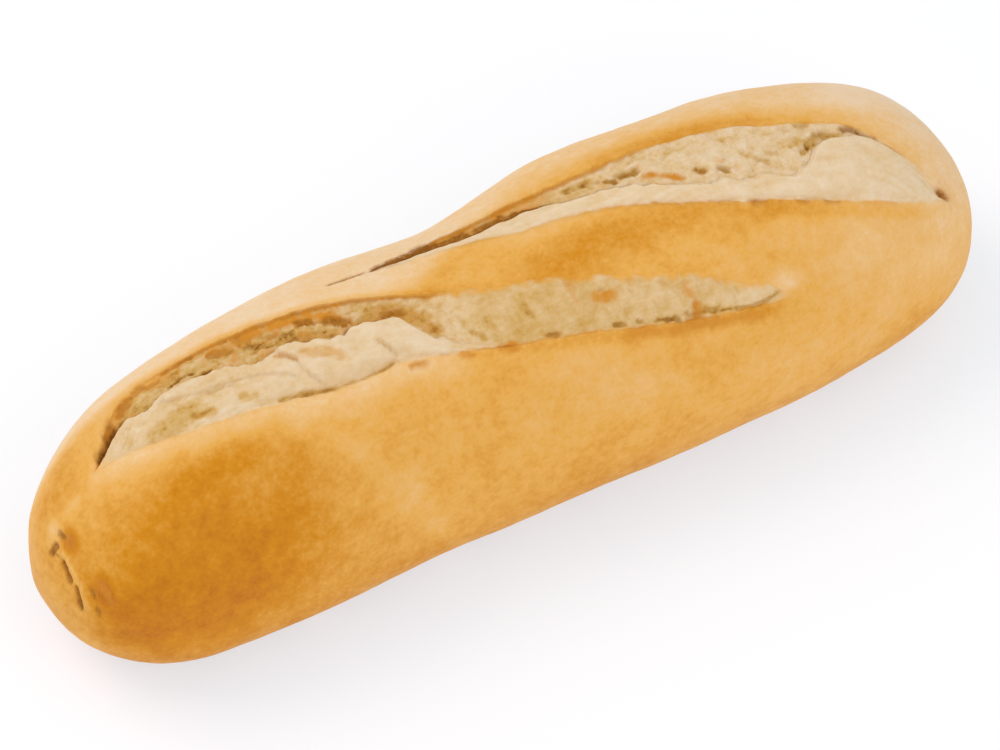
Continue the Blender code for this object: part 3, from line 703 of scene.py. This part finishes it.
def crumb_fields(band):
    """How much of each point is crumb, how pale, how toasted and how rough it is, and how dark
    it is with painted shade.
    """
    made = band.texture
    whole = 1 - band.flat
    blur = (0.0010 * band.flat + 0.35 * band.skin) * (made.lumps + made.grain)
    start = 0.0002 + 0.6 * band.skin - 0.0006 * band.flat
    crumb = ramp(band.across + blur, start, start + 0.0006 + 0.0026 * band.flat + band.skin)
    crumb = crumb * ramp(band.before + 0.0004 * made.grain, -0.0004, 0.0012) * band.taper
    face = ramp(band.off_valley, 0.0002, -0.0003) * whole
    tongue = 0.86 - 0.08 * ramp(band.place, *COARSER)
    pale = tongue + (band.tone - tongue) * np.maximum(face, band.flat)
    pale = pale + (0.14 * made.wisps + 0.07 * made.grain) * whole
    # the pits of the torn face are darker: painted shade in them
    pale = pale + (0.10 * made.lumps + 0.03 * made.grain) - 0.08 * made.pits * face
    pale = pale + 0.05 * made.strings * (face + band.flat)
    # painted shade along the crease inside the front edge
    pale = pale - 0.18 * bell(band.step - 6.0, 0.4) * ramp(band.crease, 0.0002, 0.0006)
    for place, angle, along, across, change in TINTS:
        pale = pale + change * bell(band.place - place, along) * bell(band.angle - angle, across)
    least = 0.35 - 0.7 * band.scorch
    below_ear = face * ramp(band.across, 0.0002, 0.0008)
    toast = 0.6 * below_ear * ramp(0.8 * made.lumps + 0.5 * made.grain, least, least + 0.5)
    # the ear line is toasted, and partly painted shade under the ear's lip
    ear = band.line * bell(band.across - 0.0005, 0.00045)
    toast = toast + 0.8 * ear
    # painted shade: a little along the ear line and a dark line down the groove
    painted_shade = 0.3 * ear + band.shade * bell(band.off_valley + 0.0001, 0.00042)
    # more painted shade in the pits of the torn face
    painted_shade = painted_shade + 0.12 * made.pits * face * band.torn
    rough = face * band.torn + 0.15 * band.flat * ramp(band.share, 0.0, 0.2)
    rough = np.maximum(rough, 0.45 * ramp(band.place, *COARSER) * ramp(band.step, 3, 4))
    return SimpleNamespace(crumb=crumb, pale=pale, toast=toast * band.taper,
                           painted_shade=painted_shade * band.taper, rough=rough * band.taper)


def crust_bake(grid):
    """How far the crust is baked at each point, from 0, a pale peach, to 1, a deep golden brown."""
    place, angle, height = grid.place, grid.angle, grid.points[..., 2]
    edges = {"left_back": grid.left_lines.back, "left_front": grid.left_lines.front,
             "right_back": grid.right_lines.back, "right_front": grid.right_lines.front}
    bake = PLAIN_BAKE + LOW_BAKE * ramp(height, 0.022, 0.003)
    for middle, facing, length_reach, spread, change in BAKES:
        bake = bake + change * bell(place - middle, length_reach) * bell(angle - facing, spread)
    back_line = curve(BACK_LINE, place)
    # paler behind the back line: partly paler bake, partly painted light on the back
    pale_back = ramp(angle, back_line + 7, back_line - 7) * ramp(angle, -130, -95)
    pale_back = pale_back * ramp(place, -0.98, -0.88)
    bake = bake - PALE_BACK * pale_back * (1 - 0.30 * ramp(place, 0.1, 0.5))
    for edge, before, reach, fade_in, fade_out, change in EDGE_BAKES:
        strip = bell(angle - edges[edge][:, None] - before, reach)
        strip = strip * ramp(place, *fade_in) * ramp(place, *fade_out)
        bake = bake + change * strip
    offset, run = line_offset(grid, BULGE_END, 0.024)
    # a paler strip along the end of the bulge is a painted highlight on the ridge there; the
    # browner band beside it is the bulge's deeper bake
    bake = bake - 0.10 * bell(offset - 0.001, 0.0030) * ramp(run, 0, 0.2)
    bake = bake + 0.09 * bell(offset + 0.009, 0.0075) * ramp(run, 0, 0.2)
    # all angles meet at an end point, so the changes round the loaf even out before it
    width = np.gradient(angle, axis=1)
    for end in loaf_points(np.array([-1.0, 1.0]), 0.0):
        even = (bake * width).sum(1, keepdims=True) / width.sum(1, keepdims=True)
        near = ramp(np.linalg.norm(grid.points - end, axis=-1), *END_BLEND)
        bake = bake + near * (even - bake)
    bake = bake + 0.07 * noise_at(grid.points, 0.016, 51, 3)
    return np.clip(bake, 0, 1)


def end_fade(run):
    """1 along most of a line, falling to 0 at its two ends."""
    return ramp(run, 0, 0.15) * ramp(run, 1, 0.85)


def add_features(grid, fields):
    """Lay the folds, cracks and pits into the heights and the fields of the grid."""
    rough_line = noise_at(grid.points, 0.0025, 81, 2)
    for line, step, swell in FOLDS:
        offset, run = line_offset(grid, line, 3 * swell)
        offset = offset + 0.0005 * rough_line
        lobe = step * bell(np.maximum(offset, 0), swell) * ramp(offset, -0.0002, 0.0003)
        # painted shade under the edge of each lobe, where it dips
        under = bell(offset + 0.0003, 0.0004) * end_fade(run)
        grid.height += lobe * end_fade(run) - 0.4 * abs(step) * under
        fields["painted_shade"] += 0.22 * under
    ragged = noise_at(grid.points, 0.0013, 83, 2)
    for line, half_width, depth, pale, toast, painted_shade in MARKS:
        offset, run = line_offset(grid, line, 2.5 * half_width + 0.001)
        thinning = 0.5 + 0.5 * np.sqrt(4 * run * (1 - run)) if len(line) > 2 else 1.0
        reach = half_width * (1 + 0.6 * rough_line + 0.5 * ragged) * thinning
        mark = ramp(reach - np.abs(offset), -0.5 * half_width - 0.00015, 0.5 * half_width)
        grid.height -= depth * mark
        fields["pale"] += pale * mark
        fields["toast"] += toast * mark
        # painted shade laid along each mark
        fields["painted_shade"] += painted_shade * mark
    offset, run = line_offset(grid, END_RIDGE, 0.006)
    ridge = bell(offset + 0.0006 * rough_line, 0.0007) * end_fade(run) * ramp(ragged, -0.8, 0.2)
    grid.height += 0.0003 * ridge
    fields["bake"] -= 0.25 * ridge
    offset, run = line_offset(grid, BULGE_END, 0.016)
    grid.height -= 0.0004 * bell(offset, 0.0040) * ramp(run, 0, 0.2)


def crust_fields(grid):
    """Every field that the finish reads, over the whole grid."""
    names = ("crumb", "pale", "toast", "painted_shade", "rough")
    fields = {name: np.zeros_like(grid.place) for name in names}
    for band in (grid.right, grid.left):
        own = crumb_fields(band)
        for name in names:
            fields[name][:, band.columns] = getattr(own, name)
    fields["bake"] = crust_bake(grid)
    add_features(grid, fields)
    return {name: np.clip(field, 0, 1) for name, field in fields.items()}


def skin_positions(grid):
    """Final points of the skin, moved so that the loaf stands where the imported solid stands."""
    height = grid.height
    for rise, size, seed, octaves in WAVES:
        height = height + rise * noise_at(grid.points, size, seed, octaves)
    resting = ramp(grid.points[..., 2], 0.0, 0.002)
    points = grid.points + grid.normals * (height * resting)[..., None]
    points[..., 2] = np.maximum(points[..., 2], 0)
    ends = loaf_points(np.array([-1.0, 1.0]), 0.0)
    corners = np.concatenate([points.reshape(-1, 3), ends])
    low, high = corners.min(0), corners.max(0)
    shift = np.array([0.5 * (LOAF_LOW[axis] + LOAF_HIGH[axis]) - 0.5 * (low[axis] + high[axis])
                      for axis in range(2)] + [LOAF_LOW[2] - low[2]])
    return points + shift, ends + shift


def skin_mesh(grid):
    """A sphere with its poles at the loaf's ends, moved point by point onto the skin."""
    points, ends = skin_positions(grid)
    rings, strands = grid.place.shape
    shape = bmesh.new()
    poles_on_x = Matrix.Rotation(math.radians(90), 4, "Y")
    bmesh.ops.create_uvsphere(shape, u_segments=strands, v_segments=rings + 1, radius=1.0,
                              matrix=poles_on_x)
    mesh = bpy.data.meshes.new("loaf_skin")
    shape.to_mesh(mesh)
    shape.free()
    ball = np.empty(3 * len(mesh.vertices))
    mesh.vertices.foreach_get("co", ball)
    ball = ball.reshape(-1, 3)
    ring = np.rint(np.arccos(np.clip(-ball[:, 0], -1, 1)) / math.pi * (rings + 1)).astype(int)
    turn = np.arctan2(-ball[:, 1], ball[:, 2]) / (2 * math.pi) + 0.5
    strand = np.rint(turn * strands).astype(int) % strands
    inside = (ring > 0) & (ring <= rings)
    placed = np.where((ring == 0)[:, None], ends[0], ends[1])
    placed[inside] = points[ring[inside] - 1, strand[inside]]
    mesh.vertices.foreach_set("co", placed.ravel())
    for name, field in grid.fields.items():
        values = np.empty(len(ring))
        values[inside] = field[ring[inside] - 1, strand[inside]]
        values[ring == 0], values[ring > rings] = field[0].mean(), field[-1].mean()
        mesh.attributes.new(name, "FLOAT", "POINT").data.foreach_set("value", values)
    lay_out(mesh, ring, strand, rings, strands, grid)
    mesh.shade_smooth()
    mesh.update()
    return mesh


def lay_out(mesh, ring, strand, rings, strands, grid):
    """Unroll the skin into one map: along the loaf one way and round it the other."""
    corner = np.empty(len(mesh.loops), int)
    mesh.loops.foreach_get("vertex_index", corner)
    start = np.empty(len(mesh.polygons), int)
    count = np.empty(len(mesh.polygons), int)
    mesh.polygons.foreach_get("loop_start", start)
    mesh.polygons.foreach_get("loop_total", count)
    face = np.repeat(np.arange(len(start)), count)
    row, column = ring[corner], strand[corner].astype(float)
    pole = (row == 0) | (row == rings + 1)
    wraps = np.maximum.reduceat(np.where(pole, 0, column), start) > strands / 2
    column = np.where(wraps[face] & (column == 0) & ~pole, strands, column)
    sums = np.add.reduceat(np.where(pole, 0, column), start)
    known = np.add.reduceat((~pole).astype(int), start)
    column = np.where(pole, (sums / known)[face], column)
    by_angle = np.append(grid.angle[rings // 2] / 360 + 0.5, 1.0)
    by_strand = np.arange(strands + 1) / strands
    height = np.interp(column, np.arange(strands + 1), 0.5 * (by_angle + by_strand))
    flat = np.stack([row / (rings + 1), height], -1)
    mesh.uv_layers.new(name="OFBake").uv.foreach_set("vector", flat.ravel())


class Shading:
    """Adds nodes to a material and joins them. A node's inputs are given by name or by number."""

    def __init__(self, name):
        self.material = bpy.data.materials.new(name)
        self.material.use_nodes = True
        self.tree = self.material.node_tree
        self.shader = self.tree.nodes["Principled BSDF"]

    def add(self, kind, inputs=(), **settings):
        node = self.tree.nodes.new("ShaderNode" + kind)
        for name, value in settings.items():
            setattr(node, name, value)
        for name, value in dict(inputs).items():
            self.feed(node.inputs[name], value)
        return node

    def feed(self, socket, value):
        if isinstance(value, bpy.types.NodeSocket):
            self.tree.links.new(value, socket)
        else:
            socket.default_value = value

    def field(self, name):
        return self.add("Attribute", attribute_name=name).outputs["Fac"]

    def math(self, operation, first, second=0.0, third=0.0, clamp=False):
        inputs = {0: first, 1: second, 2: third}
        return self.add("Math", inputs, operation=operation, use_clamp=clamp).outputs[0]

    def noise(self, spots, scale, detail=3.0, roughness=0.55):
        inputs = {"Vector": spots, "Scale": scale, "Detail": detail, "Roughness": roughness}
        return self.add("TexNoise", inputs).outputs["Fac"]

    def mix(self, share, first, second):
        node = self.add("Mix", data_type="RGBA")
        self.feed(node.inputs[0], share)
        self.feed(node.inputs[6], first)
        self.feed(node.inputs[7], second)
        return node.outputs[2]

    def ramp(self, value, stops):
        node = self.add("ValToRGB", {"Fac": value})
        bar = node.color_ramp
        while len(bar.elements) < len(stops):
            bar.elements.new(1.0)
        for element, (place, colour) in zip(bar.elements, stops):
            element.position = place
            element.color = (*colour, 1.0)
        return node.outputs["Color"]


def swing(shading, value, amount):
    """A noise value turned into a swing of about the given amount on both sides of 0."""
    return shading.math("MULTIPLY", shading.math("SUBTRACT", value, 0.5), 2 * amount)


def bread_material(colours, surface):
    """Baked crust and torn crumb in one finish, mixed by the fields laid on the mesh."""
    bread = Shading("baked_bread")
    spots = bread.add("TexCoord").outputs["Object"]
    stretched = bread.add("Mapping", {"Vector": spots, "Scale": (0.25, 1.0, 1.0)})
    clouds = bread.noise(spots, 110.0)
    mottle = bread.noise(spots, 420.0)
    specks = bread.noise(spots, 1100.0, 2.0)
    fibres = bread.noise(stretched.outputs["Vector"], 1000.0, 4.0, 0.6)
    cells = bread.add("TexVoronoi", {"Vector": spots, "Scale": 480.0}).outputs["Distance"]
    rough = bread.field("rough")
    holes = bread.math("MULTIPLY_ADD", cells, -3.0, third=1.0, clamp=True)
    holes = bread.math("MULTIPLY", holes, rough)
    bake = bread.field("bake")
    for pattern, amount in ((clouds, 0.14), (mottle, 0.15), (specks, 0.10)):
        bake = bread.math("ADD", bake, swing(bread, pattern, amount))
    crust = bread.ramp(bake, (
        (0.0, colours.pale), (0.25, colours.light), (0.5, colours.golden),
        (0.75, colours.deep), (1.0, colours.brown)))
    pale = bread.field("pale")
    uneven = bread.math("MULTIPLY_ADD", rough, 0.4, third=0.35)
    for pattern, amount in ((mottle, 0.50), (specks, 0.30), (fibres, 0.35)):
        change = bread.math("MULTIPLY", swing(bread, pattern, amount), uneven)
        pale = bread.math("ADD", pale, change)
    # painted shade in the crumb's holes: the crumb is darker in each
    pale = bread.math("MULTIPLY_ADD", holes, -0.15, third=pale)
    crumb = bread.ramp(pale, (
        (0.0, colours.groove), (0.3, colours.tan), (0.62, colours.cream), (1.0, colours.milk)))
    edge = bread.math("ADD", bread.field("crumb"), swing(bread, specks, 0.2))
    edge = bread.math("MULTIPLY_ADD", edge, 1.3, third=-0.15, clamp=True)
    skin = bread.mix(edge, crust, crumb)
    patchy = bread.math("ADD", swing(bread, mottle, 0.8), 1.0)
    toast = bread.math("MULTIPLY", bread.field("toast"), patchy, clamp=True)
    skin = bread.mix(toast, skin, (*colours.toast, 1.0))
    # painted shade: the groove colour laid over cracks, crevices, pits and the dough under folds
    patchy = bread.math("ADD", swing(bread, specks, 0.7), 1.0)
    painted_shade = bread.math("MULTIPLY", bread.field("painted_shade"), patchy, clamp=True)
    skin = bread.mix(painted_shade, skin, (*colours.groove, 1.0))
    bread.feed(bread.shader.inputs["Base Color"], skin)
    gloss = bread.add("MapRange", {"Value": edge, "To Min": surface.crust_rough,
                                   "To Max": surface.crumb_rough}).outputs[0]
    bread.feed(bread.shader.inputs["Roughness"], gloss)
    bread.shader.inputs["Specular IOR Level"].default_value = surface.gloss
    bread.shader.inputs["Subsurface Weight"].default_value = surface.glow
    bread.shader.inputs["Subsurface Radius"].default_value = (1.0, 0.6, 0.3)
    bread.shader.inputs["Subsurface Scale"].default_value = surface.glow_depth
    fine = bread.noise(spots, 1500.0, 4.0, 0.6)
    coarse = bread.math("MULTIPLY", bread.noise(spots, 620.0, 3.0, 0.6), 1.6)
    strength = bread.math("MULTIPLY_ADD", bread.field("crumb"), 0.7, third=0.4)
    strength = bread.math("MULTIPLY_ADD", rough, 1.2, third=strength)
    grain = bread.math("MULTIPLY", bread.math("ADD", fine, coarse), strength)
    grain = bread.math("MULTIPLY_ADD", holes, -0.8, third=grain)
    grain = bread.math("MULTIPLY_ADD", fibres, bread.field("crumb"), third=grain)
    bump = bread.add("Bump", {"Height": grain, "Distance": surface.grain_height,
                              "Strength": 1.0})
    bread.feed(bread.shader.inputs["Normal"], bump.outputs["Normal"])
    return bread.material


def floor_material(colour, glow):
    """A matte floor with a faint mottle. Its own cool glow keeps the shadows pale and neutral."""
    paint = Shading("floor_paint")
    mottle = paint.noise(paint.add("TexCoord").outputs["Object"], 6.0)
    darker = tuple(0.98 * value for value in colour)
    paint.feed(paint.shader.inputs["Base Color"],
               paint.mix(mottle, (*colour, 1.0), (*darker, 1.0)))
    paint.shader.inputs["Roughness"].default_value = 0.9
    paint.shader.inputs["Specular IOR Level"].default_value = 0.1
    paint.shader.inputs["Emission Color"].default_value = (*glow, 1.0)
    paint.shader.inputs["Emission Strength"].default_value = 1.0
    return paint.material


def a_colour(name, description, default):
    """A setting that holds a colour."""
    return FloatVectorProperty(name=name, description=description, subtype="COLOR",
                               default=default, min=0, max=1)


def a_share(name, description, default):
    """A setting that runs from 0 to 1."""
    return FloatProperty(name=name, description=description, default=default, min=0, max=1,
                         subtype="FACTOR")


def a_number(name, description, default, low, high, unit="NONE"):
    """A setting with limits of its own."""
    return FloatProperty(name=name, description=description, default=default, min=low, max=high,
                         unit=unit)


def an_angle(name, description, default):
    """A setting that holds an angle, given in degrees."""
    return FloatProperty(name=name, description=description, default=math.radians(default),
                         subtype="ANGLE")


class BreadColours(bpy.types.PropertyGroup):
    """Colours of the crust and the crumb."""
    pale: a_colour("Pale crust", "Least baked crust, beside the scores", tone(240, 209, 170))
    light: a_colour("Light crust", "Lightly baked crust", tone(237, 190, 124))
    golden: a_colour("Golden crust", "Well baked crust", tone(232, 172, 80))
    deep: a_colour("Deep crust", "Most of the browned flank", tone(212, 138, 18))
    brown: a_colour("Brown crust", "Darkest specks of the crust", tone(186, 104, 2))
    toast: a_colour("Toasted edge", "Thin edges that caught the heat", tone(214, 142, 46))
    # the groove colour is also the colour of the painted shade in cracks, crevices, pits and under
    # folds
    groove: a_colour("Groove", "Deepest dough inside the scores", tone(146, 90, 24))
    tan: a_colour("Tan crumb", "Dried torn crumb", tone(208, 164, 88))
    cream: a_colour("Cream crumb", "Risen dough inside the scores", tone(226, 192, 142))
    milk: a_colour("Pale crumb", "Palest stretched dough", tone(234, 210, 176))


class BreadSurface(bpy.types.PropertyGroup):
    """Gloss and grain of the bread."""
    crust_rough: a_share("Crust roughness", "Roughness of the crust", 0.5)
    crumb_rough: a_share("Crumb roughness", "Roughness of the torn crumb", 0.85)
    gloss: a_share("Gloss", "Strength of the crust's satin shine", 0.15)
    glow: a_share("Glow", "Share of light that travels inside the bread", 0.08)
    glow_depth: a_number("Glow depth", "How far light travels inside", 0.002, 0, 0.02, "LENGTH")
    grain_height: a_number("Grain height", "Height of the finest grain", 0.00010, 0, 0.001,
                           "LENGTH")


class StageSettings(bpy.types.PropertyGroup):
    """Floor, lights and camera."""
    floor: a_colour("Floor colour", "Colour of the floor", (0.72, 0.52, 0.44))
    floor_glow: a_colour("Floor glow", "Light that the floor gives off", (0.30, 0.50, 0.60))
    sky: a_number("Sky light", "Strength of the even light all round", 0.68, 0, 5)
    key: a_number("Key light", "Power of the large lamp behind on the left", 4.5, 0, 200, "POWER")
    fill: a_number("Fill light", "Power of the large lamp in front", 4.0, 0, 200, "POWER")
    lens: a_number("Focal length", "Focal length of the camera in mm", 152.4, 20, 400)
    distance: a_number("Camera distance", "From the lens to the loaf", 0.94, 0.2, 5, "LENGTH")
    turn: an_angle("Camera azimuth", "Turn of the camera round the loaf", -31.02)
    tilt: an_angle("Camera elevation", "Height of the camera as an angle", 50.0)


class BAGUETTE_OT_bake_loaf(bpy.types.Operator):
    """Make the loaf: its skin with both scores, and its finish"""
    bl_idname = "baguette.bake_loaf"
    bl_label = "Bake Loaf"
    bl_options = {"REGISTER", "UNDO"}

    def execute(self, context):
        settings = context.scene.baguette
        grid = loaf_grid()
        grid.fields = crust_fields(grid)
        mesh = skin_mesh(grid)
        mesh.materials.append(bread_material(settings.colours, settings.surface))
        loaf = bpy.data.objects.new("loaf_crust_and_crumb", mesh)
        context.scene.collection.objects.link(loaf)
        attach(loaf, "root")
        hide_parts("loaf")
        return {"FINISHED"}


def soft_lamp(context, name, place, aim, size, power):
    """A large square lamp that points from its place at aim."""
    light = bpy.data.lights.new(name, "AREA")
    light.energy = power
    light.size = size
    lamp = bpy.data.objects.new(name, light)
    lamp.location = place
    lamp.rotation_euler = (aim - place).to_track_quat("-Z", "Y").to_euler()
    context.scene.collection.objects.link(lamp)


class BAGUETTE_OT_set_stage(bpy.types.Operator):
    """Make the floor, the soft lights, the even sky and the camera"""
    bl_idname = "baguette.set_stage"
    bl_label = "Set Stage"
    bl_options = {"REGISTER", "UNDO"}

    def execute(self, context):
        stage = context.scene.baguette.stage
        low, high = Vector(CAD_BOX[0]), Vector(CAD_BOX[1])
        middle = 0.5 * (low + high)
        bpy.ops.mesh.primitive_plane_add(size=FLOOR_SIZE, location=(middle.x, middle.y, low.z))
        floor = context.object
        floor.name = "floor"
        floor.data.materials.append(floor_material(stage.floor, stage.floor_glow))
        world = bpy.data.worlds.new("studio")
        world.use_nodes = True
        background = world.node_tree.nodes["Background"]
        background.inputs["Color"].default_value = (1.0, 1.0, 1.0, 1.0)
        background.inputs["Strength"].default_value = stage.sky
        context.scene.world = world
        soft_lamp(context, "key_lamp", middle + Vector((-0.5, 0.55, 0.9)), middle, 0.8, stage.key)
        soft_lamp(context, "fill_lamp", middle + Vector((0.1, -1.1, 0.8)), middle, 1.0, stage.fill)
        back = Vector((math.sin(stage.turn) * math.cos(stage.tilt),
                       -math.cos(stage.turn) * math.cos(stage.tilt), math.sin(stage.tilt)))
        aim = middle + Vector(AIM_SHIFT)
        camera = bpy.data.objects.new("camera", bpy.data.cameras.new("camera"))
        camera.data.lens = stage.lens
        camera.data.sensor_width = SENSOR_WIDTH
        camera.location = aim + back * stage.distance
        camera.rotation_euler = back.to_track_quat("Z", "Y").to_euler()
        context.scene.collection.objects.link(camera)
        context.scene.camera = camera
        context.scene.view_settings.view_transform = "Standard"
        return {"FINISHED"}


class BaguetteSettings(bpy.types.PropertyGroup):
    """Everything that the panel shows."""
    colours: PointerProperty(type=BreadColours)
    surface: PointerProperty(type=BreadSurface)
    stage: PointerProperty(type=StageSettings)


class BAGUETTE_PT_panel(bpy.types.Panel):
    """Buttons and settings of the baguette in the 3D view's sidebar"""
    bl_idname = "BAGUETTE_PT_panel"
    bl_label = "Baguette"
    bl_space_type = "VIEW_3D"
    bl_region_type = "UI"
    bl_category = "Baguette"

    def draw(self, context):
        settings = context.scene.baguette
        for operator in ("baguette.bake_loaf", "baguette.set_stage"):
            self.layout.operator(operator)
        for group in (settings.colours, settings.surface, settings.stage):
            box = self.layout.box()
            for name in group.__annotations__:
                box.prop(group, name)


CLASSES = (BreadColours, BreadSurface, StageSettings, BaguetteSettings,
           BAGUETTE_OT_bake_loaf, BAGUETTE_OT_set_stage, BAGUETTE_PT_panel)


def register():
    for each in CLASSES:
        bpy.utils.register_class(each)
    bpy.types.Scene.baguette = PointerProperty(type=BaguetteSettings)


def unregister():
    del bpy.types.Scene.baguette
    for each in reversed(CLASSES):
        bpy.utils.unregister_class(each)


def main():
    register()
    bpy.ops.baguette.bake_loaf()
    bpy.ops.baguette.set_stage()


if __name__ == "__main__":
    main()
